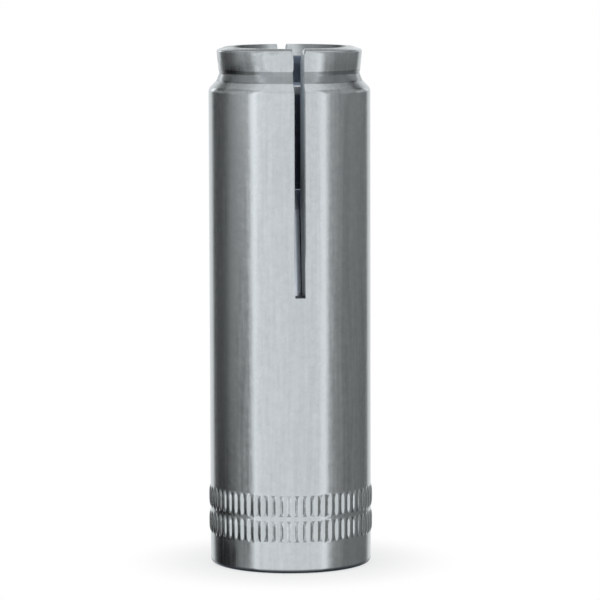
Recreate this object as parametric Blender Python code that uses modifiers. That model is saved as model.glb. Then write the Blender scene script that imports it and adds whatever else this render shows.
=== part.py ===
"""Drop-in anchor, size M16: a turned and slotted steel sleeve, with an expansion plug loose in its bore.

The sleeve stands on its threaded mouth, as it stands on a bench. Its axis is +Z, and the origin is the
middle of the mouth face. A setting tool goes in at the mouth and drives the plug up the tapered bore,
which spreads the two halves between the slots. Lengths are in metres.
"""

import math

import bmesh
import bpy
from mathutils import Matrix, Vector

# Sleeve, outside
SLEEVE_LENGTH = 0.0643
BODY_RADIUS = 0.0100
MOUTH_ROUND = 0.0007

# Sleeve, slotted end: collar with a bevelled rim, groove, slight flare and the body's round shoulder.
# A step is how far a place lies inward of the body's surface.
COLLAR_STEP = 0.00102
COLLAR_FOOT_STEP = 0.00124
COLLAR_LENGTH = 0.0029
RIM_BEVEL_WIDTH = 0.00094
RIM_BEVEL_DROP = 0.00043
RIM_ROUND = 0.0003
GROOVE_STEP = 0.00136
GROOVE_DROP = 0.0004
FLARE_STEP = 0.0010
FLARE_LENGTH = 0.00095
SHOULDER_SLOPE = 45
SHOULDER_ROUND = 0.0010

# Sleeve, bore, from the slotted end down: relief, straight land, taper, the plug's bore and the thread.
# A wall is measured from the body's surface.
END_CHAMFER = 0.00145
RELIEF_WALL = 0.0043
RELIEF_DEPTH = 0.0052
TAPER_END_WALL = 0.0047
LAND_LENGTH = 0.0144
TAPER_LENGTH = 0.0119
PLUG_BORE_WALL = 0.0032
PLUG_BORE_LENGTH = 0.0033
THREAD_WALL = 0.00308
MOUTH_CHAMFER = 0.0014

# Sleeve, slots: one straight cut across the slotted end
SLOT_COUNT = 2
SLOT_WIDTH = 0.00127
SLOT_DEPTH = 0.03025

# Sleeve, two knurled bands of short raised ribs
RIBS_AROUND = 64
RIB_HEIGHT = 0.0002
RIB_WIDTH = 0.00064
RIB_LENGTH = 0.0026
RIB_SINK = 0.00015
LOWER_BAND_HEIGHT = 0.0053
BAND_SPACING = 0.00315
BAND_COUNT = 2

# Expansion plug: a short nose, a cone that fits the taper and a straight tail
PLUG_CLEARANCE = 0.0003
PLUG_SHOULDER_DROP = 0.0002
PLUG_TAIL_LENGTH = 0.00195
PLUG_NOSE_LENGTH = 0.00245
PLUG_NOSE_STEP = 0.0010
PLUG_REAR_CHAMFER = 0.0006

# Finishes
ZINC_COLOR = (0.60, 0.62, 0.63)
ZINC_ROUGHNESS = 0.30
PLUG_COLOR = (0.42, 0.44, 0.48)
PLUG_ROUGHNESS = 0.38

# Faceting
SEGMENTS = 64
RIM_STEPS = 2
SHOULDER_STEPS = 5
MOUTH_STEPS = 3
RIB_SIDES = 6
RIB_RINGS = 6
SHARP_ANGLE = math.radians(32)
MERGE_DISTANCE = 0.00001
CUTTER_OVERSHOOT = 1.2

# Radii and places that follow from the sizes above
THREAD_MINOR_RADIUS = BODY_RADIUS - THREAD_WALL
PLUG_BORE_RADIUS = BODY_RADIUS - PLUG_BORE_WALL
TAPER_END_RADIUS = BODY_RADIUS - TAPER_END_WALL
RELIEF_RADIUS = BODY_RADIUS - RELIEF_WALL
RELIEF_Z = SLEEVE_LENGTH - RELIEF_DEPTH
TAPER_END_Z = RELIEF_Z - LAND_LENGTH
TAPER_START_Z = TAPER_END_Z - TAPER_LENGTH
THREAD_END_Z = TAPER_START_Z - PLUG_BORE_LENGTH
COLLAR_FOOT_Z = SLEEVE_LENGTH - COLLAR_LENGTH
GROOVE_Z = COLLAR_FOOT_Z - GROOVE_DROP
FLARE_END_Z = GROOVE_Z - FLARE_LENGTH
SLOT_FLOOR_Z = SLEEVE_LENGTH - SLOT_DEPTH


def arc(center, radius, start, stop, steps):
    """Points of an arc about center, from angle start to stop in degrees, both ends included."""
    points = []
    for step in range(steps + 1):
        angle = math.radians(start + (stop - start) * step / steps)
        points.append((center[0] + radius * math.cos(angle), center[1] + radius * math.sin(angle)))
    return points


def bore_radius(z):
    """Radius of the plug's bore at height z: straight, then narrowing up the taper."""
    share = min(max((z - TAPER_START_Z) / TAPER_LENGTH, 0.0), 1.0)
    return PLUG_BORE_RADIUS + (TAPER_END_RADIUS - PLUG_BORE_RADIUS) * share


def sleeve_profile():
    """Closed (radius, z) outline of the sleeve's wall: down the outside from the slotted end, up the bore."""
    bevel_slope = math.degrees(math.atan2(RIM_BEVEL_WIDTH, RIM_BEVEL_DROP))
    rim_middle = BODY_RADIUS - COLLAR_STEP - RIM_ROUND
    bevel_foot = rim_middle + RIM_ROUND * math.cos(math.radians(bevel_slope))
    bevel_foot_z = SLEEVE_LENGTH - RIM_BEVEL_DROP
    rim_middle_z = bevel_foot_z - RIM_ROUND * math.sin(math.radians(bevel_slope))
    rim = [(bevel_foot - RIM_BEVEL_WIDTH, SLEEVE_LENGTH)]
    rim += arc((rim_middle, rim_middle_z), RIM_ROUND, bevel_slope, 0, RIM_STEPS)
    groove = [
        (BODY_RADIUS - COLLAR_FOOT_STEP, COLLAR_FOOT_Z),
        (BODY_RADIUS - GROOVE_STEP, GROOVE_Z),
        (BODY_RADIUS - FLARE_STEP, FLARE_END_Z),
    ]
    slope = math.radians(SHOULDER_SLOPE)
    slope_width = FLARE_STEP - SHOULDER_ROUND * (1 - math.cos(slope))
    shoulder_middle_z = FLARE_END_Z - slope_width / math.tan(slope) - SHOULDER_ROUND * math.sin(slope)
    shoulder_middle = (BODY_RADIUS - SHOULDER_ROUND, shoulder_middle_z)
    shoulder = arc(shoulder_middle, SHOULDER_ROUND, SHOULDER_SLOPE, 0, SHOULDER_STEPS)
    mouth = arc((BODY_RADIUS - MOUTH_ROUND, MOUTH_ROUND), MOUTH_ROUND, 0, -90, MOUTH_STEPS)
    bore = [
        (THREAD_MINOR_RADIUS + MOUTH_CHAMFER, 0.0),
        (THREAD_MINOR_RADIUS, MOUTH_CHAMFER),
        (THREAD_MINOR_RADIUS, THREAD_END_Z),
        (PLUG_BORE_RADIUS, THREAD_END_Z + THREAD_MINOR_RADIUS - PLUG_BORE_RADIUS),
        (PLUG_BORE_RADIUS, TAPER_START_Z),
        (TAPER_END_RADIUS, TAPER_END_Z),
        (TAPER_END_RADIUS, RELIEF_Z),
        (RELIEF_RADIUS, RELIEF_Z + RELIEF_RADIUS - TAPER_END_RADIUS),
        (RELIEF_RADIUS, SLEEVE_LENGTH - END_CHAMFER),
        (RELIEF_RADIUS + END_CHAMFER, SLEEVE_LENGTH),
    ]
    return rim + groove + shoulder + mouth + bore


def plug_profile():
    """Open (radius, z) outline of the plug, from the middle of its nose to the middle of its rear face."""
    shoulder_z = TAPER_END_Z - PLUG_SHOULDER_DROP
    nose_z = shoulder_z + PLUG_NOSE_LENGTH
    rear_z = TAPER_START_Z - PLUG_TAIL_LENGTH
    shoulder_radius = bore_radius(shoulder_z) - PLUG_CLEARANCE
    radius = PLUG_BORE_RADIUS - PLUG_CLEARANCE
    return [
        (0.0, nose_z),
        (shoulder_radius - PLUG_NOSE_STEP, nose_z),
        (shoulder_radius, shoulder_z),
        (radius, TAPER_START_Z),
        (radius, rear_z + PLUG_REAR_CHAMFER),
        (radius - PLUG_REAR_CHAMFER, rear_z),
        (0.0, rear_z),
    ]


def new_collection(name):
    collection = bpy.data.collections.new(name)
    bpy.context.scene.collection.children.link(collection)
    return collection


def steel(name, color, roughness):
    """A metallic surface for zinc-plated or bare steel."""
    material = bpy.data.materials.new(name)
    material.use_nodes = True
    shader = material.node_tree.nodes["Principled BSDF"]
    shader.inputs["Base Color"].default_value = (*color, 1.0)
    shader.inputs["Metallic"].default_value = 1.0
    shader.inputs["Roughness"].default_value = roughness
    return material


def turned(name, profile, closed, collection):
    """A (radius, z) outline in the XZ plane, turned once about Z by a Screw modifier."""
    mesh = bpy.data.meshes.new(name)
    edges = [(index, index + 1) for index in range(len(profile) - 1)]
    if closed:
        edges.append((len(profile) - 1, 0))
    mesh.from_pydata([(radius, 0.0, z) for radius, z in profile], edges, [])
    obj = bpy.data.objects.new(name, mesh)
    collection.objects.link(obj)
    screw = obj.modifiers.new("turn", "SCREW")
    screw.steps = SEGMENTS
    screw.render_steps = SEGMENTS
    screw.use_merge_vertices = True
    screw.merge_threshold = MERGE_DISTANCE
    return obj


def helper(name, mesh_builder, collection):
    """A tool body for a Boolean: it is filled by mesh_builder and left out of the render."""
    mesh = bpy.data.meshes.new(name)
    shape = bmesh.new()
    mesh_builder(shape)
    shape.to_mesh(mesh)
    shape.free()
    obj = bpy.data.objects.new(name, mesh)
    obj.hide_render = True
    obj.display_type = "WIRE"
    collection.objects.link(obj)
    return obj


def add_ribs(shape):
    """Every rib of both knurled bands: a long hexagonal ellipsoid along Z, flat side out, sunk in the wall."""
    rise = RIB_HEIGHT + RIB_SINK
    spread = math.sqrt(1.0 - (RIB_SINK / rise) ** 2)
    crest = rise / math.cos(math.pi / RIB_SIDES)
    size = Vector((crest, RIB_WIDTH / 2 / spread, RIB_LENGTH / 2 / spread))
    for band in range(BAND_COUNT):
        height = LOWER_BAND_HEIGHT + band * BAND_SPACING
        for index in range(RIBS_AROUND):
            turn = Matrix.Rotation(math.tau * index / RIBS_AROUND, 4, "Z")
            place = Matrix.Translation((BODY_RADIUS - RIB_SINK, 0.0, height))
            bmesh.ops.create_uvsphere(
                shape,
                u_segments=RIB_SIDES,
                v_segments=RIB_RINGS,
                radius=1.0,
                matrix=turn @ place @ Matrix.Diagonal(size).to_4x4(),
            )


def slot_cutter(index):
    """A mesh builder for one slot: a block from the axis out through the wall and past the slotted end."""

    def build(shape):
        reach = CUTTER_OVERSHOOT * BODY_RADIUS
        rise = CUTTER_OVERSHOOT * SLOT_DEPTH
        turn = Matrix.Rotation(math.tau * index / SLOT_COUNT - math.pi / 2, 4, "Z")
        place = Matrix.Translation((reach / 2, 0.0, SLOT_FLOOR_Z + rise / 2))
        size = Matrix.Diagonal((reach, SLOT_WIDTH, rise, 1.0))
        bmesh.ops.create_cube(shape, size=1.0, matrix=turn @ place @ size)

    return build


def combine(obj, other, operation):
    boolean = obj.modifiers.new(other.name, "BOOLEAN")
    boolean.operation = operation
    boolean.solver = "EXACT"
    boolean.object = other


def finish(obj, material):
    """Applies the modifiers, shades the round faces smooth and gives the piece its material."""
    bpy.context.view_layer.update()
    graph = bpy.context.evaluated_depsgraph_get()
    mesh = bpy.data.meshes.new_from_object(obj.evaluated_get(graph), depsgraph=graph)
    obj.modifiers.clear()
    obj.data = mesh
    mesh.name = obj.name
    mesh.shade_smooth()
    mesh.set_sharp_from_angle(angle=SHARP_ANGLE)
    mesh.materials.clear()
    mesh.materials.append(material)


for old in list(bpy.data.objects):
    bpy.data.objects.remove(old)

parts = new_collection("drop_in_anchor")
tools = new_collection("boolean_tools")

# The sleeve is one turned piece, knurled near the mouth and slotted from the other end.
sleeve = turned("sleeve", sleeve_profile(), True, parts)
combine(sleeve, helper("knurl_ribs", add_ribs, tools), "UNION")
for number in range(SLOT_COUNT):
    combine(sleeve, helper(f"slot_cutter_{number + 1}", slot_cutter(number), tools), "DIFFERENCE")
finish(sleeve, steel("zinc_plated_steel", ZINC_COLOR, ZINC_ROUGHNESS))

# The plug's cone stands in the taper, on the same axis, which is the line it slides along.
plug = turned("expansion_plug", plug_profile(), False, parts)
finish(plug, steel("plug_steel", PLUG_COLOR, PLUG_ROUGHNESS))
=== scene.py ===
"""Looks of a drop-in anchor, size M16: a zinc-plated steel sleeve, its bolt thread and its expansion plug.

Lengths are in metres, in the frame of the CAD model: the sleeve stands on its threaded mouth, with +Z up its
axis.
"""

import math

import bpy
import numpy as np
from mathutils import Matrix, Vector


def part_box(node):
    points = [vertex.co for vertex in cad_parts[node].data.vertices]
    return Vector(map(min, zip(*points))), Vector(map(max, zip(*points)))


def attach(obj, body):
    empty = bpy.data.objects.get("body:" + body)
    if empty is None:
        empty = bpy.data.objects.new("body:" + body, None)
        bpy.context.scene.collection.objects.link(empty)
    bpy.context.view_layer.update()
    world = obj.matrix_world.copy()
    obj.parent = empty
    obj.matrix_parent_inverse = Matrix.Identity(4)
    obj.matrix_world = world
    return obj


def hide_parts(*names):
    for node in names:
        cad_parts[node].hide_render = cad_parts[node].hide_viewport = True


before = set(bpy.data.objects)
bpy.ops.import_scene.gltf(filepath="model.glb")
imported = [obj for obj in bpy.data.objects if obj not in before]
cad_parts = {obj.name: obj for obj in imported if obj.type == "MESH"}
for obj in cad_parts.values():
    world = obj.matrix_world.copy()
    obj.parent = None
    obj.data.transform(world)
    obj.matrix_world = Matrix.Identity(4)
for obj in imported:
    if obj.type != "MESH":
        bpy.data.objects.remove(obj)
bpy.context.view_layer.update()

# Camera: a long lens half a metre away, a little above the slotted end. It is turned to the right, so the
# anchor stands left of the picture's middle, and the front slot right of the anchor's middle.
CAMERA_HEADING = math.radians(-7.3)
CAMERA_DISTANCE = 0.480
CAMERA_RISE = 0.02006
CAMERA_PITCH = 0.10697
CAMERA_YAW = 0.00257
CAMERA_ROLL = -0.00286
CAMERA_LENS = 233.1

sleeve_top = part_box("sleeve")[1][2]
camera = bpy.data.objects.new("camera", bpy.data.cameras.new("camera"))
camera.data.lens = CAMERA_LENS
stand = Matrix.Translation((0, -CAMERA_DISTANCE, sleeve_top + CAMERA_RISE))
aim = Matrix.Rotation(-CAMERA_YAW, 4, "Z") @ Matrix.Rotation(math.pi / 2 - CAMERA_PITCH, 4, "X")
level_aim = Matrix.Rotation(CAMERA_HEADING, 4, "Z") @ stand @ aim
camera.matrix_world = level_aim @ Matrix.Rotation(CAMERA_ROLL, 4, "Z")
bpy.context.scene.collection.objects.link(camera)
bpy.context.scene.camera = camera

# Sleeve: one piece of steel, turned outside and inside, knurled in two bands near the mouth, sawn across
# from the other end and zinc plated. It stands for the CAD sleeve, and repeats its sizes with finer curves.
# Depths are measured down from the slotted end.
BODY_RADIUS = 0.0100
MOUTH_ROUND = 0.0007
SHOULDER_ROUND = 0.0010
SHOULDER_SLOPE = 45
FLARE_RADIUS = 0.0090
FLARE_DEPTH = 0.00415
GROOVE_RADIUS = 0.00864
GROOVE_DEPTH = 0.0032
COLLAR_FOOT_RADIUS = 0.00876
COLLAR_FOOT_DEPTH = 0.0028
COLLAR_RADIUS = 0.00898
RIM_RADIUS = 0.00792
RIM_DROP = 0.00043
RIM_ROUND = 0.0003
EDGE_SETBACK = 0.00019
BODY_FOOT = 0.014
BODY_ROWS = 4
MOUTH_STEPS = 8
SHOULDER_STEPS = 9
RIM_STEPS = 4
EDGE_STEPS = 4
SHARP_ANGLE = 35

THREAD_MAJOR_RADIUS = 0.0080
THREAD_MINOR_RADIUS = 0.00692
THREAD_END = 0.0295
THREAD_RUN_OUT = 0.0012
COUNTERSINK_RADIUS = 0.00832
PLUG_BORE_RADIUS = 0.0068
TAPER_START_DEPTH = 0.0315
TAPER_END_DEPTH = 0.0196
TAPER_END_RADIUS = 0.0053
RELIEF_DEPTH = 0.0052
RELIEF_RADIUS = 0.0057
END_CHAMFER = 0.00145
BORE_ROUND = 0.0001
BORE_STEPS = 2

SLOT_HALF_WIDTH = 0.000635
SLOT_DEPTH = 0.03025
SLOT_EDGE_BREAK = 0.00007
SLOT_COLUMNS = 14
HALF_COLUMNS = 306
HALF_ROWS = 38
WORN_LEFT = (0.0010, 0.0011)
WORN_RIGHT = (0.0004, 0.0004)
WEAR_BLEND = 0.0024

RIBS_AROUND = 64
RIB_HEIGHT = 0.000178
RIB_HALF_WIDTH = 0.00045
RIB_HALF_LENGTH = 0.00142
RIB_FULLNESS = 1.25
RIB_GAP_RISE = 0.00003
BAND_HEIGHTS = (0.0053, 0.00845)
KNURL_ROW = 0.00013


def arc(center, radius, start, stop, steps):
    """Points center + radius (cos a, sin a) of evenly spaced angles a in degrees, as (radius, z) rows."""
    angles = np.radians(np.linspace(start, stop, steps + 1))
    return np.array(center) + radius * np.stack([np.cos(angles), np.sin(angles)], axis=1)


def rounded(corners, setback, steps):
    """A polyline whose inner corners P become parabolas (1-t)^2 A + 2t(1-t) P + t^2 B, where A and B lie at
    the distance setback from P on the two runs that meet there."""
    corners = np.array(corners)
    t = np.linspace(0, 1, steps + 1)[:, None]
    pieces = [corners[:1]]
    for before, corner, after in zip(corners[:-2], corners[1:-1], corners[2:]):
        near = corner + setback * (before - corner) / np.linalg.norm(before - corner)
        far = corner + setback * (after - corner) / np.linalg.norm(after - corner)
        pieces.append((1 - t) ** 2 * near + 2 * t * (1 - t) * corner + t**2 * far)
    return np.concatenate(pieces + [corners[-1:]])


def divided(points, count):
    """The same polyline with its longest run halved, again and again, until it has count points."""
    while len(points) < count:
        longest = np.argmax(np.linalg.norm(np.diff(points, axis=0), axis=1))
        points = np.insert(points, longest + 1, (points[longest] + points[longest + 1]) / 2, axis=0)
    return points


def column_angles(radii):
    """Angle of every column at each radius. A slot's columns lie at asin(offset / radius), so that its walls
    are parallel planes, and the columns of a half of the sleeve share the rest of the half turn evenly."""
    slot = np.arcsin(SLOT_HALF_WIDTH * np.linspace(-1, 1, SLOT_COLUMNS) / radii[:, None])
    start = np.arcsin((SLOT_HALF_WIDTH + SLOT_EDGE_BREAK) / radii[:, None])
    half = start + (np.pi - 2 * start) * np.linspace(0, 1, HALF_COLUMNS)
    front = np.concatenate([slot, half], axis=1)
    return np.concatenate([front - np.pi / 2, front + np.pi / 2], axis=1)


def rib_rise(angles, heights):
    """Height of the knurl above the body: RIB_HEIGHT (1 - q)^RIB_FULLNESS, where q = (across / half width)^2
    + (along / half length)^4 is 1 on a rib's outline."""
    pitch = 2 * np.pi / RIBS_AROUND
    across = BODY_RADIUS * ((angles + pitch / 2) % pitch - pitch / 2)
    rise = np.zeros_like(angles)
    for height in BAND_HEIGHTS:
        inside = 1 - (across / RIB_HALF_WIDTH) ** 2 - ((heights - height) / RIB_HALF_LENGTH) ** 4
        rise = rise + RIB_HEIGHT * np.clip(inside, 0, 1) ** RIB_FULLNESS
    return rise


def corner_drop(angles, radii, heights):
    """How far the corners beside the front slot are worn down: drop (1 - s / reach)^2 at the distance s from
    the slot's wall, fading out downwards. Each side of the slot has its own (reach, drop)."""
    beside = radii * np.abs(angles + np.pi / 2) - SLOT_HALF_WIDTH
    on_left = angles < -np.pi / 2
    reach = np.where(on_left, WORN_LEFT[0], WORN_RIGHT[0])
    drop = np.where(on_left, WORN_LEFT[1], WORN_RIGHT[1])
    near = np.clip(1 - beside / reach, 0, 1) ** 2
    return drop * near * np.clip(1 - (sleeve_top - heights) / WEAR_BLEND, 0, 1)


def turned_grid(profile, floor_row):
    """Points (r cos a, r sin a, z) of a (radius, z) profile on the sleeve's columns, with the ribs added.
    Above floor_row the corners beside the front slot are worn down, and the outside's radius shrinks on the
    slots' two edge columns, which breaks those edges."""
    radii, heights = profile[:, :1], profile[:, 1:]
    angles = column_angles(profile[:, 0])
    column = np.arange(angles.shape[1]) % (SLOT_COLUMNS + HALF_COLUMNS)
    on_edge = (column == 0) | (column == SLOT_COLUMNS - 1)
    above = np.arange(len(profile))[:, None] > floor_row
    outside = radii > RELIEF_RADIUS + END_CHAMFER
    heights = heights - corner_drop(angles, radii, heights) * above
    radii = radii + rib_rise(angles, heights) * (radii >= BODY_RADIUS)
    radii = radii - SLOT_EDGE_BREAK * (on_edge & above & outside)
    return np.stack([radii * np.cos(angles), radii * np.sin(angles), heights], axis=2)


def strip(first, second):
    """Quads between two equal rows of vertex numbers, for a viewer who sees first below second, from left to
    right."""
    return np.stack([first[:-1], first[1:], second[1:], second[:-1]], axis=1)


def band(grid):
    """Quads of a grid of vertex numbers, for a viewer who sees its rows run upwards and its columns to the
    right."""
    return np.concatenate([strip(low, high) for low, high in zip(grid[:-1], grid[1:])])


def make_piece(name, points, finishes, sharp_degrees):
    """A mesh object at the origin, smooth but for edges over sharp_degrees. Each item of finishes lists the
    arrays of faces that take one material, and points that no face uses are dropped."""
    used = np.unique(np.concatenate([faces.ravel() for groups in finishes for faces in groups]))
    rows = []
    for groups in finishes:
        rows.append([row for faces in groups for row in np.searchsorted(used, faces).tolist()])
    mesh = bpy.data.meshes.new(name)
    mesh.from_pydata(points.reshape(-1, 3)[used], [], sum(rows, []))
    mesh.shade_smooth()
    mesh.set_sharp_from_angle(angle=math.radians(sharp_degrees))
    slots = np.repeat(np.arange(len(rows)), [len(part) for part in rows])
    mesh.polygons.foreach_set("material_index", slots)
    piece = bpy.data.objects.new(name, mesh)
    bpy.context.scene.collection.objects.link(piece)
    return piece


def half_columns(count):
    """The column numbers of each half above the slots' floor, from one slot's last column to the next one's
    first."""
    starts = np.arange(SLOT_COLUMNS - 1, count, SLOT_COLUMNS + HALF_COLUMNS)
    return [(start + np.arange(HALF_COLUMNS + 2)) % count for start in starts]


def outside_faces(outer, inner, floor_row, chamfer_row):
    """Quads of the outside, the mouth's face, and the end faces and inner chamfers of both halves."""
    ring = np.append(np.arange(outer.shape[1]), 0)
    faces = [band(outer[: floor_row + 1, ring]), strip(inner[0, ring], outer[0, ring])]
    for half in half_columns(outer.shape[1]):
        faces += [band(outer[floor_row:, half]), strip(outer[-1, half], inner[-1, half])]
        faces.append(band(inner[chamfer_row:, half[::-1]]))
    return faces


def bore_faces(inner, floor_row, chamfer_row):
    """Quads of the bore, from the mouth to the chamfers."""
    ring = np.append(np.arange(inner.shape[1]), 0)
    faces = [band(inner[: floor_row + 1, ring[::-1]])]
    for half in half_columns(inner.shape[1]):
        faces.append(band(inner[floor_row : chamfer_row + 1, half[::-1]]))
    return faces


def slot_faces(outer, inner, outer_floor, inner_floor):
    """Quads of the floor and the two walls of each slot."""
    faces = []
    for start in range(0, inner.shape[1], SLOT_COLUMNS + HALF_COLUMNS):
        slot = start + np.arange(SLOT_COLUMNS)
        first, last = slot[0], slot[-1]
        faces.append(strip(outer[outer_floor, slot], inner[inner_floor, slot]))
        faces.append(band(np.stack([outer[outer_floor:, first], inner[inner_floor:, first]], axis=1)))
        faces.append(band(np.stack([inner[inner_floor:, last], outer[outer_floor:, last]], axis=1)))
    return faces


def bore_radius(z):
    """Radius of the plug's bore at height z: straight, then narrowing up the taper, then straight again."""
    share = (z - sleeve_top + TAPER_START_DEPTH) / (TAPER_START_DEPTH - TAPER_END_DEPTH)
    return PLUG_BORE_RADIUS + (TAPER_END_RADIUS - PLUG_BORE_RADIUS) * min(max(share, 0), 1)


slot_floor = sleeve_top - SLOT_DEPTH
mouth_round = arc((BODY_RADIUS - MOUTH_ROUND, MOUTH_ROUND), MOUTH_ROUND, -90, 0, MOUTH_STEPS)
knurl_foot = BAND_HEIGHTS[0] - RIB_HALF_LENGTH - KNURL_ROW
knurl_top = BAND_HEIGHTS[1] + RIB_HALF_LENGTH + KNURL_ROW
knurl_heights = np.arange(knurl_foot, knurl_top, KNURL_ROW)
knurled = np.stack([np.full_like(knurl_heights, BODY_RADIUS), knurl_heights], axis=1)
body = np.linspace((BODY_RADIUS, BODY_FOOT), (BODY_RADIUS, slot_floor), BODY_ROWS)
outer_foot = np.concatenate([mouth_round, knurled, body])
slope = math.radians(SHOULDER_SLOPE)
slope_width = BODY_RADIUS - FLARE_RADIUS - SHOULDER_ROUND * (1 - math.cos(slope))
shoulder_top = sleeve_top - FLARE_DEPTH - slope_width / math.tan(slope)
shoulder_middle = (BODY_RADIUS - SHOULDER_ROUND, shoulder_top - SHOULDER_ROUND * math.sin(slope))
shoulder = arc(shoulder_middle, SHOULDER_ROUND, 0, SHOULDER_SLOPE, SHOULDER_STEPS)
rim_middle = COLLAR_RADIUS - RIM_ROUND
rim_slope = math.degrees(math.atan2(rim_middle + RIM_ROUND - RIM_RADIUS, RIM_DROP))
rim = arc((rim_middle, sleeve_top - RIM_DROP - RIM_ROUND / 2), RIM_ROUND, 0, rim_slope, RIM_STEPS)
collar_corners = [
    shoulder[-1],
    (FLARE_RADIUS, sleeve_top - FLARE_DEPTH),
    (GROOVE_RADIUS, sleeve_top - GROOVE_DEPTH),
    (COLLAR_FOOT_RADIUS, sleeve_top - COLLAR_FOOT_DEPTH),
    rim[0],
]
collar = rounded(collar_corners, EDGE_SETBACK, EDGE_STEPS)
outer_half = np.vstack([outer_foot[-1:], shoulder, collar[1:], rim[1:], (RIM_RADIUS, sleeve_top)])
outer_profile = np.concatenate([outer_foot, divided(outer_half, HALF_ROWS)[1:]])

bore_corners = [
    (COUNTERSINK_RADIUS, 0.0),
    (THREAD_MAJOR_RADIUS, COUNTERSINK_RADIUS - THREAD_MAJOR_RADIUS),
    (THREAD_MAJOR_RADIUS, THREAD_END - THREAD_RUN_OUT),
    (THREAD_MINOR_RADIUS, THREAD_END),
    (PLUG_BORE_RADIUS, THREAD_END + THREAD_MINOR_RADIUS - PLUG_BORE_RADIUS),
    (PLUG_BORE_RADIUS, sleeve_top - TAPER_START_DEPTH),
    (bore_radius(slot_floor), slot_floor),
]
halves_corners = [
    bore_corners[-1],
    (TAPER_END_RADIUS, sleeve_top - TAPER_END_DEPTH),
    (TAPER_END_RADIUS, sleeve_top - RELIEF_DEPTH),
    (RELIEF_RADIUS, sleeve_top - RELIEF_DEPTH + RELIEF_RADIUS - TAPER_END_RADIUS),
    (RELIEF_RADIUS, sleeve_top - END_CHAMFER),
    (RELIEF_RADIUS + END_CHAMFER, sleeve_top),
]
inner_foot = rounded(bore_corners, BORE_ROUND / 2, BORE_STEPS)
inner_half = divided(rounded(halves_corners, BORE_ROUND, BORE_STEPS), HALF_ROWS)
inner_profile = np.concatenate([inner_foot, inner_half[1:]])

outer_floor_row = len(outer_foot) - 1
inner_floor_row = len(inner_foot) - 1
chamfer_row = np.argmax(inner_profile[:, 1] > sleeve_top - END_CHAMFER)
sleeve_points = np.concatenate(
    [turned_grid(outer_profile, outer_floor_row), turned_grid(inner_profile, inner_floor_row)]
)
sleeve_numbers = np.arange(sleeve_points.shape[0] * sleeve_points.shape[1]).reshape(sleeve_points.shape[:2])
outer_numbers, inner_numbers = np.split(sleeve_numbers, [len(outer_profile)])
sleeve = make_piece(
    "zinc_sleeve",
    sleeve_points,
    [
        outside_faces(outer_numbers, inner_numbers, outer_floor_row, chamfer_row),
        bore_faces(inner_numbers, inner_floor_row, chamfer_row),
        slot_faces(outer_numbers, inner_numbers, outer_floor_row, inner_floor_row),
    ],
    SHARP_ANGLE,
)

# The zinc outside. A pattern's scale is in patches to the metre, its shade and roughness are its shares in
# those of the surface, and its relief is in metres. A stretch below 1 draws it out into lines.
ZINC_COLOR = (0.79, 0.81, 0.82)
ZINC_SHADOW_COLOR = (0.39, 0.415, 0.43)
# The dark colour of all painted shade: between ribs, in the groove, on the chamfer, in the slots, on the
# nose.
PAINTED_SHADE_COLOR = (0.16, 0.17, 0.18)
ZINC_ROUGHNESS = 0.19
FINE_DETAIL = 3.0
GRAIN_SCALE = 3600.0
GRAIN_SHADE = 0.22
GRAIN_RELIEF = 0.0000016
MOTTLE_SCALE = 1100.0
MOTTLE_SHADE = 0.30
MOTTLE_ROUGHNESS = 0.12
MOTTLE_RELIEF = 0.0000050
CLOUD_SCALE = 170.0
CLOUD_SHADE = 0.11
CLOUD_RELIEF = 0.000016
LINE_SCALE = 2200.0
LINE_STRETCH = 0.05
LINE_SHADE = 0.40
LINE_ROUGHNESS = 0.20
LINE_RELIEF = 0.0000012
PATCH_SCALE = 420.0
PATCH_EDGES = (0.56, 0.40)
PATCH_FADE = 0.002
PATCH_SHADE = 0.30
PATCH_ROUGHNESS = 0.08
PATCH_RELIEF = 0.000004

# Painted shade on the zinc: shares of its dark colour, and edges at which it starts and at which it is full.
# Painted shade between the knurl's ribs, made uneven by noise.
GAP_SHADE_NOISE_SCALE = 900.0
GAP_SHADE_NOISE_EDGES = (0.40, 0.60)
BAND_EDGES = (0.96 * RIB_HALF_LENGTH, 0.86 * RIB_HALF_LENGTH)
GAP_SHADE = 0.25
GAP_SHADE_NOISE = 0.50
# Painted shade in the groove under the collar.
GROOVE_SHADE = 0.55
GROOVE_SHADE_FADE = 0.0001
# Painted shade on the rim's inner slope and chamfer, which dims their reflection; left out near the slots.
CHAMFER_SHADE = 0.85
CHAMFER_SHADE_EDGES = (RIM_RADIUS + 0.0005, RELIEF_RADIUS + END_CHAMFER + 0.0003)
UNSHADED_BESIDE_SLOT = (0.0012, 0.0030)

# The duller zinc in the bore, darkened by painted shade, with a painted highlight on its lip, and on
# the sawn faces, with painted shade deeper in the slots.
DULL_GRAIN_SCALE = 2600.0
DULL_GRAIN_ROUGHNESS = 0.15
DULL_GRAIN_RELIEF = 0.000003
# The bore's colour is partly its dull plating and partly painted shade, far darker than the zinc outside.
SHADED_BORE_COLOR = (0.245, 0.28, 0.345)
BORE_SHADOW_COLOR = (0.105, 0.125, 0.17)
BORE_ROUGHNESS = 0.34
DRILL_RING_SCALE = 5200.0
DRILL_RING_STRETCH = 0.05
DRILL_RING_RELIEF = 0.000003
# A painted highlight on the bore's lip under the relief.
LIP_DEPTHS = (0.0012, 0.0008)
LIP_FADE = 0.0002
PAINTED_LIP_HIGHLIGHT = 0.8
SAWN_COLOR = (0.80, 0.85, 0.88)
SAWN_SHADOW_COLOR = (0.60, 0.65, 0.70)
SAWN_ROUGHNESS = 0.50
SAWN_METALLIC = 0.35
SAWN_GRAIN_SHADE = 0.6
SCRATCH_SCALE = 6000.0
SCRATCH_STRETCH = 0.08
SCRATCH_SHADE = 0.4
SCRATCH_RELIEF = 0.000004
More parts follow.
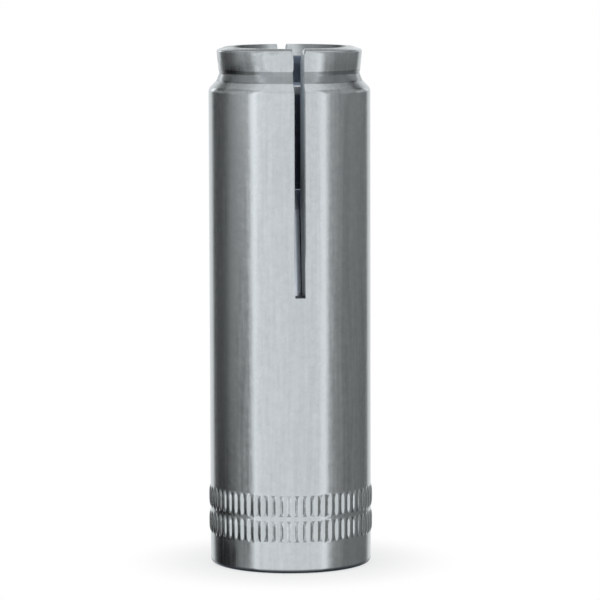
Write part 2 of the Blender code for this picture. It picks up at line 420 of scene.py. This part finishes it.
# Painted shade on the sawn faces, darker deeper in the slots and at their floor.
WALL_SHADE = 0.32
WALL_SHADE_DEPTHS = (0.008, 0.018)
SLOT_FLOOR_SHADE = 0.60
SLOT_FLOOR_SHADE_HEIGHTS = (0.0007, 0.0001)


class Wire:
    """A socket of a node tree. Arithmetic on wires adds Math nodes, and node() adds any other node."""

    def __init__(self, tree, socket=None):
        self.tree = tree
        self.socket = socket

    def node(self, kind, settings=None, sockets=None, output=0):
        """A new node: its settings are set first (stops are a ramp's), then its sockets, by name or number.
        The wire stands for its output of that name or number."""
        node = self.tree.nodes.new(kind)
        for name, value in (settings or {}).items():
            if name == "stops":
                ramp = node.color_ramp.elements
                while len(ramp) < len(value):
                    ramp.new(1.0)
                for element, (position, grey) in zip(ramp, value):
                    element.position = position
                    element.color = (grey, grey, grey, 1.0)
            else:
                setattr(node, name, value)
        for key, value in (sockets or {}).items():
            if isinstance(value, Wire):
                self.tree.links.new(value.socket, node.inputs[key])
            else:
                node.inputs[key].default_value = value
        return Wire(self.tree, node.outputs[output] if node.outputs else None)

    def other(self, output):
        """The wire of another output of the same node."""
        return Wire(self.tree, self.socket.node.outputs[output])

    def into(self, socket):
        """Links the wire to a node's input."""
        self.tree.links.new(self.socket, socket)

    def math(self, operation, first, second=0.0):
        """A Math node on one or two wires or numbers."""
        return self.node("ShaderNodeMath", {"operation": operation}, {0: first, 1: second})

    def __add__(self, other):
        return self.math("ADD", self, other)

    def __sub__(self, other):
        return self.math("SUBTRACT", self, other)

    def __rsub__(self, other):
        return self.math("SUBTRACT", other, self)

    def __mul__(self, other):
        return self.math("MULTIPLY", self, other)

    def __truediv__(self, other):
        return self.math("DIVIDE", self, other)

    __radd__ = __add__
    __rmul__ = __mul__


def noise(tree, place, scale, detail=2.0):
    """Noise of about 0 to 1 at each point of place, 0.5 on the average, with scale patches to the metre."""
    return tree.node("ShaderNodeTexNoise", None, {"Vector": place, "Scale": scale, "Detail": detail})


def blend_color(tree, share, first, second):
    """The colour (1 - share) first + share second, each of them a wire or three numbers. On a Mix node the
    two colours are the sockets 6 and 7, and the colour that comes out is the output 2."""
    first, second = [color if isinstance(color, Wire) else (*color, 1.0) for color in (first, second)]
    return tree.node("ShaderNodeMix", {"data_type": "RGBA"}, {0: share, 6: first, 7: second}, 2)


def fade(tree, value, start, stop):
    """0 below start, 1 above stop and a smooth step between them; start may be the greater one."""
    sockets = {"Value": value, "From Min": start, "From Max": stop}
    return tree.node("ShaderNodeMapRange", {"interpolation_type": "SMOOTHSTEP"}, sockets)


def metal_surface(color, roughness, relief, metallic=1.0):
    """Sets up the tree's shader, with wires for its colour, its roughness and its relief in metres."""
    shader = color.tree.nodes["Principled BSDF"]
    shader.inputs["Metallic"].default_value = metallic
    color.into(shader.inputs["Base Color"])
    roughness.into(shader.inputs["Roughness"])
    bump = color.node("ShaderNodeBump", None, {"Strength": 1.0, "Distance": 1.0, "Height": relief})
    bump.into(shader.inputs["Normal"])


def material_tree(name):
    """A new material with nodes, and its tree as a wire."""
    material = bpy.data.materials.new(name)
    material.use_nodes = True
    return material, Wire(material.node_tree)


def zinc_plating():
    """Bright zinc on turned steel: a fine mottled grain, soft clouds and faint lines along the axis, and
    worn patches on the left of the collar. Painted shade darkens it between the ribs, in the groove and,
    away from the slots, on the inner chamfer."""
    material, tree = material_tree("zinc_plating")
    place = tree.node("ShaderNodeTexCoord", output="Object")
    sideways = tree.node("ShaderNodeSeparateXYZ", None, {"Vector": place})
    height = sideways.other("Z")
    drawn = tree.node("ShaderNodeMapping", None, {"Vector": place, "Scale": (1.0, 1.0, LINE_STRETCH)})
    grain = noise(tree, place, GRAIN_SCALE, FINE_DETAIL)
    mottle = noise(tree, place, MOTTLE_SCALE, FINE_DETAIL)
    clouds = noise(tree, place, CLOUD_SCALE)
    lines = noise(tree, drawn, LINE_SCALE)
    flare_edge = sleeve_top - FLARE_DEPTH
    collar_foot = sleeve_top - COLLAR_FOOT_DEPTH
    on_collar = fade(tree, height, flare_edge, collar_foot)
    on_left = fade(tree, sideways, PATCH_FADE, -PATCH_FADE)
    patches = fade(tree, noise(tree, place, PATCH_SCALE, FINE_DETAIL), *PATCH_EDGES) * on_collar * on_left
    shade = GRAIN_SHADE * grain + MOTTLE_SHADE * mottle + CLOUD_SHADE * clouds
    shade = shade + LINE_SHADE * lines - PATCH_SHADE * patches
    flat_place = tree.node("ShaderNodeVectorMath", {"operation": "MULTIPLY"}, {0: place, 1: (1.0, 1.0, 0.0)})
    radius = tree.node("ShaderNodeVectorMath", {"operation": "LENGTH"}, {0: flat_place}, "Value")
    in_bands = 0.0
    for band_height in BAND_HEIGHTS:
        off_middle = tree.math("ABSOLUTE", height - band_height)
        in_bands = fade(tree, off_middle, *BAND_EDGES) + in_bands
    between_ribs = in_bands * fade(tree, radius, BODY_RADIUS + RIB_GAP_RISE, BODY_RADIUS)
    # Painted shade in the groove.
    under_collar = fade(tree, height, collar_foot + GROOVE_SHADE_FADE, collar_foot)
    in_groove = under_collar * fade(tree, height, flare_edge - GROOVE_SHADE_FADE, flare_edge)
    # Painted shade on the inner chamfer, left out beside the slots.
    off_slots = fade(tree, tree.math("ABSOLUTE", sideways), *UNSHADED_BESIDE_SLOT)
    on_chamfer = fade(tree, radius, *CHAMFER_SHADE_EDGES)
    # Painted shade between the ribs, uneven in strength.
    gap_shade_noise = fade(tree, noise(tree, place, GAP_SHADE_NOISE_SCALE), *GAP_SHADE_NOISE_EDGES)
    # Painted shade: darker between the ribs, in the groove and on the inner chamfer away from the slots.
    painted_shade = (GAP_SHADE + GAP_SHADE_NOISE * gap_shade_noise) * between_ribs + GROOVE_SHADE * in_groove
    painted_shade = painted_shade + CHAMFER_SHADE * on_chamfer * off_slots
    zinc = blend_color(tree, shade, ZINC_SHADOW_COLOR, ZINC_COLOR)
    color = blend_color(tree, painted_shade, zinc, PAINTED_SHADE_COLOR)
    roughness = ZINC_ROUGHNESS + MOTTLE_ROUGHNESS * (mottle - 0.5) + LINE_ROUGHNESS * (lines - 0.5)
    roughness = roughness + PATCH_ROUGHNESS * patches
    relief = GRAIN_RELIEF * grain + MOTTLE_RELIEF * mottle + CLOUD_RELIEF * clouds
    relief = relief + LINE_RELIEF * lines + PATCH_RELIEF * patches
    metal_surface(color, roughness, relief)
    return material


def bore_plating():
    """Thin, dull blue zinc in the bore, over the rings that the drill left, darkened by painted shade, with
    a painted highlight on the lip under the relief."""
    material, tree = material_tree("bore_plating")
    place = tree.node("ShaderNodeTexCoord", output="Object")
    stretch = (DRILL_RING_STRETCH, DRILL_RING_STRETCH, 1.0)
    drawn = tree.node("ShaderNodeMapping", None, {"Vector": place, "Scale": stretch})
    grain = noise(tree, place, DULL_GRAIN_SCALE, FINE_DETAIL)
    rings = noise(tree, drawn, DRILL_RING_SCALE)
    height = tree.node("ShaderNodeSeparateXYZ", None, {"Vector": place}, "Z")
    lip = sleeve_top - RELIEF_DEPTH
    on_lip = fade(tree, height, lip - LIP_DEPTHS[0], lip - LIP_DEPTHS[1])
    on_lip = on_lip * fade(tree, height, lip + LIP_FADE, lip)
    # Bore colour: dull plating darkened by painted shade.
    color = blend_color(tree, 0.5 * grain + 0.5 * rings, BORE_SHADOW_COLOR, SHADED_BORE_COLOR)
    # Painted highlight on the lip.
    color = blend_color(tree, PAINTED_LIP_HIGHLIGHT * on_lip, color, ZINC_COLOR)
    roughness = BORE_ROUGHNESS + DULL_GRAIN_ROUGHNESS * (grain - 0.5)
    metal_surface(color, roughness, DULL_GRAIN_RELIEF * grain + DRILL_RING_RELIEF * rings)
    return material


def sawn_plating():
    """Matt zinc on the sawn faces of the slots, with the saw's fine scratches along them. Painted shade
    darkens them deeper in the slots and most at the slots' floor."""
    material, tree = material_tree("sawn_plating")
    place = tree.node("ShaderNodeTexCoord", output="Object")
    drawn = tree.node("ShaderNodeMapping", None, {"Vector": place, "Scale": (1.0, 1.0, SCRATCH_STRETCH)})
    grain = noise(tree, place, DULL_GRAIN_SCALE, FINE_DETAIL)
    scratches = noise(tree, drawn, SCRATCH_SCALE)
    height = tree.node("ShaderNodeSeparateXYZ", None, {"Vector": place}, "Z")
    low_down = fade(tree, height, sleeve_top - WALL_SHADE_DEPTHS[0], sleeve_top - WALL_SHADE_DEPTHS[1])
    on_floor = fade(tree, height, slot_floor + SLOT_FLOOR_SHADE_HEIGHTS[0], slot_floor + SLOT_FLOOR_SHADE_HEIGHTS[1])
    shade = SAWN_GRAIN_SHADE * grain + SCRATCH_SHADE * scratches
    sawn = blend_color(tree, shade, SAWN_SHADOW_COLOR, SAWN_COLOR)
    # Painted shade, deeper in the slots and at their floor.
    color = blend_color(tree, WALL_SHADE * low_down + SLOT_FLOOR_SHADE * on_floor, sawn, PAINTED_SHADE_COLOR)
    roughness = SAWN_ROUGHNESS + DULL_GRAIN_ROUGHNESS * (grain - 0.5)
    relief = DULL_GRAIN_RELIEF * grain + SCRATCH_RELIEF * scratches
    metal_surface(color, roughness, relief, SAWN_METALLIC)
    return material


dull_shaded_plating = bore_plating()
for finish in (zinc_plating(), dull_shaded_plating, sawn_plating()):
    sleeve.data.materials.append(finish)
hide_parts("sleeve")
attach(sleeve, "sleeve")

# Bolt thread: the M16 x 2 right-hand ridge left in the bore by the tap, from the countersink to the run-out.
# It is part of the sleeve's steel, so it has the bore's plating, with its painted shade. Its foot lies
# a little inside the bore's wall.
THREAD_PITCH = 0.0020
THREAD_FOOT_WIDTH = 0.00175
THREAD_CREST_WIDTH = 0.0005
THREAD_SINK = 0.00004
THREAD_LEAST_RISE = 0.00002
THREAD_STEPS_PER_TURN = 72
RUN_OUT_SLOPE = 0.9


def thread_grid(start, stop):
    """Loops of a trapezium carried along the helix (r cos t, r sin t, pitch t / 2 pi). Its crest stands at
    the minor radius, or at the bore's cones where these are wider, so that the ridge fades out at both
    ends."""
    turns = np.arange(start / THREAD_PITCH, stop / THREAD_PITCH, 1 / THREAD_STEPS_PER_TURN)
    middle = THREAD_PITCH * turns
    countersink = COUNTERSINK_RADIUS - middle
    run_out = THREAD_MINOR_RADIUS + (middle - THREAD_END + 2 * THREAD_RUN_OUT) * RUN_OUT_SLOPE
    highest = THREAD_MAJOR_RADIUS - THREAD_LEAST_RISE
    crest = np.minimum(np.maximum(np.maximum(THREAD_MINOR_RADIUS, countersink), run_out), highest)
    foot = np.full_like(middle, THREAD_MAJOR_RADIUS + THREAD_SINK)
    radii = np.stack([foot, crest, crest, foot], axis=1)
    half = np.array([-THREAD_FOOT_WIDTH, -THREAD_CREST_WIDTH, THREAD_CREST_WIDTH, THREAD_FOOT_WIDTH]) / 2
    angles = 2 * np.pi * turns[:, None]
    return np.stack([radii * np.cos(angles), radii * np.sin(angles), middle[:, None] + half], axis=2)


thread_points = thread_grid(THREAD_FOOT_WIDTH / 2 + THREAD_SINK, THREAD_END - THREAD_FOOT_WIDTH / 2)
thread_numbers = np.arange(thread_points.shape[0] * thread_points.shape[1]).reshape(thread_points.shape[:2])
thread_loop = thread_numbers[:, [0, 1, 2, 3, 0]]
thread_faces = [band(thread_loop), thread_numbers[:1, ::-1], thread_numbers[-1:]]
thread = make_piece("bolt_thread", thread_points, [thread_faces], SHARP_ANGLE)
thread.data.materials.append(dull_shaded_plating)
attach(thread, "sleeve")

# Expansion plug: a turned steel cone, loose in the taper, which the setting tool drives up to spread the two
# halves. It stands for the CAD plug, with its edges rounded and its turning marks.
PLUG_CLEARANCE = 0.0003
PLUG_NOSE_STEP = 0.0010
PLUG_NOSE_LENGTH = 0.00245
PLUG_REAR_CHAMFER = 0.0006
PLUG_EDGE_SETBACK = 0.00015
PLUG_EDGE_STEPS = 3
PLUG_COLUMNS = 160
PLUG_SHARP_ANGLE = 40

PLUG_COLOR = (0.71, 0.74, 0.79)
PLUG_SHADOW_COLOR = (0.49, 0.51, 0.57)
PLUG_ROUGHNESS = 0.16
TURNED_RING_SCALE = 9000.0
TURNED_RING_STRETCH = 0.04
TURNED_RING_RELIEF = 0.0000012
FILM_SCALE = 700.0
FILM_ROUGHNESS = 0.12
FILM_RELIEF = 0.000002
# Painted shade on the plug's nose, deep inside the sleeve.
NOSE_SHADE = 0.45
NOSE_SHADE_FADE = 0.0001

plug_low, plug_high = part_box("expansion_plug")
plug_radius = PLUG_BORE_RADIUS - PLUG_CLEARANCE
plug_shoulder = plug_high[2] - PLUG_NOSE_LENGTH
shoulder_radius = bore_radius(plug_shoulder) - PLUG_CLEARANCE
plug_corners = [
    (plug_radius - 2 * PLUG_REAR_CHAMFER, plug_low[2]),
    (plug_radius - PLUG_REAR_CHAMFER, plug_low[2]),
    (plug_radius, plug_low[2] + PLUG_REAR_CHAMFER),
    (plug_radius, sleeve_top - TAPER_START_DEPTH),
    (shoulder_radius, plug_shoulder),
    (shoulder_radius - PLUG_NOSE_STEP, plug_high[2]),
    (shoulder_radius - 2 * PLUG_NOSE_STEP, plug_high[2]),
]


def plug_grid(profile):
    """Points (r cos a, r sin a, z) of a (radius, z) profile at PLUG_COLUMNS even angles."""
    angles = 2 * np.pi * np.arange(PLUG_COLUMNS) / PLUG_COLUMNS
    radii, heights = profile[:, :1], np.broadcast_to(profile[:, 1:], (len(profile), PLUG_COLUMNS))
    return np.stack([radii * np.cos(angles), radii * np.sin(angles), heights], axis=2)


plug_points = plug_grid(rounded(plug_corners, PLUG_EDGE_SETBACK, PLUG_EDGE_STEPS))
plug_numbers = np.arange(plug_points.shape[0] * PLUG_COLUMNS).reshape(-1, PLUG_COLUMNS)
plug_ring = np.append(np.arange(PLUG_COLUMNS), 0)
plug_faces = [band(plug_numbers[:, plug_ring]), plug_numbers[:1, ::-1], plug_numbers[-1:]]
plug = make_piece("turned_plug", plug_points, [plug_faces], PLUG_SHARP_ANGLE)


def turned_steel():
    """Bare turned steel: fine rings round the axis from the tool, under a thin uneven film of oil. Painted
    shade darkens the nose."""
    material, tree = material_tree("turned_steel")
    place = tree.node("ShaderNodeTexCoord", output="Object")
    stretch = (TURNED_RING_STRETCH, TURNED_RING_STRETCH, 1.0)
    drawn = tree.node("ShaderNodeMapping", None, {"Vector": place, "Scale": stretch})
    rings = noise(tree, drawn, TURNED_RING_SCALE)
    film = noise(tree, place, FILM_SCALE, FINE_DETAIL)
    height = tree.node("ShaderNodeSeparateXYZ", None, {"Vector": place}, "Z")
    on_nose = fade(tree, height, plug_shoulder - NOSE_SHADE_FADE, plug_shoulder + NOSE_SHADE_FADE)
    color = blend_color(tree, 0.5 * rings + 0.5 * film, PLUG_SHADOW_COLOR, PLUG_COLOR)
    # Painted shade on the nose.
    color = blend_color(tree, NOSE_SHADE * on_nose, color, PAINTED_SHADE_COLOR)
    roughness = PLUG_ROUGHNESS + FILM_ROUGHNESS * (film - 0.5)
    metal_surface(color, roughness, TURNED_RING_RELIEF * rings + FILM_RELIEF * film)
    return material


plug.data.materials.append(turned_steel())
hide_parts("expansion_plug")
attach(plug, "plug")

# Studio: a pale floor, and a plain room that the steel reflects, with a white backdrop, dark screens and
# narrow lights at its sides, a soft light at the camera and a strip of light overhead. Angles are in
# degrees, and those around the anchor are 0 at the camera and positive to the camera's right.
FLOOR_SIZE = 3.0
FLOOR_COLOR = (0.92, 0.92, 0.92, 1.0)
SHADOW_RADIUS = 0.0100
SHADOW_REACH = 0.022
SHADOW_SHARE = 0.70
# A painted shadow that only the steel sees: a dark ring on the floor round the foot, darkest in front.
UNDERFOOT_INNER = (0.00960, 0.00970)
UNDERFOOT_OUTER = (0.0098, 0.0118)
UNDERFOOT_FRONT = (0.002, -0.0095)
UNDERFOOT_BACK_SHARE = 0.5
UNDERFOOT_SHADOW_COLOR = (0.03, 0.035, 0.045, 1.0)
DEGREES = 180 / math.pi

# The walls: stops of light around the anchor, and stops of height with the share of it that is left there.
WALL_LIGHT = [
    (-180, 1.0),
    (-147, 0.80),
    (-138.5, 0.12),
    (-118, 0.10),
    (-104, 0.15),
    (-94, 0.29),
    (-80, 0.45),
    (-72, 0.54),
    (-66, 0.57),
    (-60.5, 0.60),
    (-56, 1.30),
    (-51, 1.52),
    (-45.5, 0.96),
    (-20, 0.95),
    (0, 0.93),
    (30, 0.90),
    (43, 0.90),
    (47, 1.18),
    (52.5, 1.22),
    (57.3, 0.48),
    (66, 0.42),
    (74, 0.36),
    (85.5, 0.26),
    (93, 0.27),
    (102, 0.285),
    (111, 0.265),
    (122, 0.25),
    (141, 0.20),
    (149, 0.75),
    (180, 1.0),
]
WALL_SHARE = [(-90, 1.0), (20, 1.0), (56, 0.80), (90, 0.80)]

# Screens before the walls: stops around the anchor, stops of height and the share of light that each one
# takes. The last two give light instead.
DEEP_RISE = [(-30, 0.0), (-20, 1.0), (-9.3, 1.0), (-8.3, 0.0)]
LOW_RISE = [(-30, 0.0), (-20, 1.0), (-6.8, 1.0), (-4.4, 0.0)]
LEFT_RISE = [(-11.0, 0.72), (-8.4, 1.0), (-6.6, 1.0), (-4.4, 0.0)]
MIDDLE_RISE = [(1, 0.0), (6, 1.0), (15, 1.0), (22, 0.0)]
HIGH_RISE = [(18, 0.0), (27, 1.0), (44, 1.0), (60, 0.0)]
SCREENS = [
    ([(-136, 0.0), (-126, 1.0), (-84.5, 1.0), (-81.5, 0.0)], DEEP_RISE, 0.84),
    ([(-92, 0.0), (-84, 0.45), (-76, 0.9), (-70, 1.0), (-62, 1.0), (-52, 0.0)], LEFT_RISE, 0.66),
    ([(-62, 0.0), (-57, 1.0), (-48, 1.0), (-42, 0.0)], LOW_RISE, 0.17),
    ([(56, 0.0), (60, 1.0), (128, 1.0), (140, 0.0)], LOW_RISE, 0.20),
    ([(-180, 1.0), (-135, 1.0), (-120, 0.0)], HIGH_RISE, 0.66),
    ([(120, 0.0), (135, 1.0), (180, 1.0)], HIGH_RISE, 0.60),
    ([(-154, 0.0), (-144, 1.0), (-112, 1.0), (-104, 0.0)], MIDDLE_RISE, -1.9),
    ([(108, 0.0), (116, 1.0), (144, 1.0), (154, 0.0)], MIDDLE_RISE, -1.2),
]

# The strip overhead: its share sideways and over the anchor, and its light.
STRIP_SIDE = [(-1.0, 0.24), (-0.60, 0.27), (-0.42, 1.0), (0.40, 1.0), (0.58, 0.22), (1.0, 0.20)]
STRIP_OVER = [(50, 0.0), (60, 1.0), (130, 1.0), (140, 0.0)]
STRIP_LIGHT = 0.92

# The room's tint: a little less red, and bluer where it is brighter.
ROOM_RED = 0.97
ROOM_BLUE = 0.995
ROOM_BLUE_GAIN = 0.018


def levels(tree, value, stops):
    """A level worked out from a value by straight lines between (value, level) stops."""
    span = stops[-1][0] - stops[0][0]
    peak = max(level for _, level in stops)
    marks = [((mark - stops[0][0]) / span, level / peak) for mark, level in stops]
    return peak * tree.node("ShaderNodeValToRGB", {"stops": marks}, {0: (value - stops[0][0]) / span})


world = bpy.data.worlds.new("studio")
bpy.context.scene.world = world
world.use_nodes = True
world.node_tree.nodes.clear()
room = Wire(world.node_tree)
direction = room.node("ShaderNodeTexCoord", output="Generated")
turn = {"Vector": direction, "Angle": -CAMERA_HEADING}
faced = room.node("ShaderNodeVectorRotate", {"rotation_type": "Z_AXIS"}, turn)
sideways = room.node("ShaderNodeSeparateXYZ", None, {"Vector": faced})
toward = 0.0 - sideways.other("Y")
upward = sideways.other("Z")
around = room.math("ARCTAN2", sideways, toward) * DEGREES
rise = room.math("ARCSINE", upward) * DEGREES
over = room.math("ARCTAN2", upward, toward) * DEGREES
walls = levels(room, around, WALL_LIGHT) * levels(room, rise, WALL_SHARE)
for around_stops, rise_stops, shade in SCREENS:
    walls = walls * (1.0 - shade * levels(room, around, around_stops) * levels(room, rise, rise_stops))
overhead = levels(room, sideways, STRIP_SIDE) * levels(room, over, STRIP_OVER)
level = walls * (1.0 - overhead) + STRIP_LIGHT * overhead
tints = {"X": ROOM_RED * level, "Y": level, "Z": level * (ROOM_BLUE + ROOM_BLUE_GAIN * level)}
room_color = room.node("ShaderNodeCombineXYZ", None, tints)
to_camera = room.node("ShaderNodeLightPath", output="Is Camera Ray")
seen = blend_color(room, to_camera, room_color, (1.0, 1.0, 1.0))
background = room.node("ShaderNodeBackground", None, {"Color": seen, "Strength": 1.0})
room.node("ShaderNodeOutputWorld", None, {"Surface": background})


def pale_floor():
    """White for the camera but for a soft shadow round the anchor. In the steel only a painted shadow
    shows, a dark ring round its foot that is darkest in front, and past it the room's pattern, which goes
    on below the horizon."""
    material, ground = material_tree("pale_floor")
    material.node_tree.nodes.clear()
    place = ground.node("ShaderNodeTexCoord", output="Object")
    distance = ground.node("ShaderNodeVectorMath", {"operation": "LENGTH"}, {0: place}, "Value")
    to_camera = ground.node("ShaderNodeLightPath", output="Is Camera Ray")
    to_steel = to_camera.other("Is Glossy Ray")
    lit = SHADOW_SHARE + (1.0 - SHADOW_SHARE) * fade(ground, distance, SHADOW_RADIUS, SHADOW_REACH)
    matte = ground.node("ShaderNodeBsdfDiffuse", None, {"Color": FLOOR_COLOR})
    white = ground.node("ShaderNodeEmission", None, {"Color": (1.0, 1.0, 1.0, 1.0), "Strength": 1.0})
    shown = ground.node("ShaderNodeMixShader", None, {0: lit * to_camera, 1: matte, 2: white})
    # Painted shadow round the foot, seen only in the steel.
    dark = ground.node("ShaderNodeEmission", None, {"Color": UNDERFOOT_SHADOW_COLOR, "Strength": 1.0})
    clear = ground.node("ShaderNodeBsdfTransparent")
    ring = fade(ground, distance, *UNDERFOOT_INNER) * fade(ground, distance, *reversed(UNDERFOOT_OUTER))
    depth = ground.node("ShaderNodeSeparateXYZ", None, {"Vector": place}, "Y")
    frontward = fade(ground, depth, *UNDERFOOT_FRONT)
    ring = ring * (UNDERFOOT_BACK_SHARE + (1.0 - UNDERFOOT_BACK_SHARE) * frontward)
    mirrored = ground.node("ShaderNodeMixShader", None, {0: ring, 1: clear, 2: dark})
    surface = ground.node("ShaderNodeMixShader", None, {0: to_steel, 1: shown, 2: mirrored})
    ground.node("ShaderNodeOutputMaterial", None, {"Surface": surface})
    return material


side = FLOOR_SIZE / 2
floor_corners = [(-side, -side, 0), (side, -side, 0), (side, side, 0), (-side, side, 0)]
floor_mesh = bpy.data.meshes.new("floor")
floor_mesh.from_pydata(floor_corners, [], [(0, 1, 2, 3)])
floor_mesh.materials.append(pale_floor())
floor = bpy.data.objects.new("floor", floor_mesh)
bpy.context.scene.collection.objects.link(floor)

bpy.context.scene.view_settings.view_transform = "Standard"
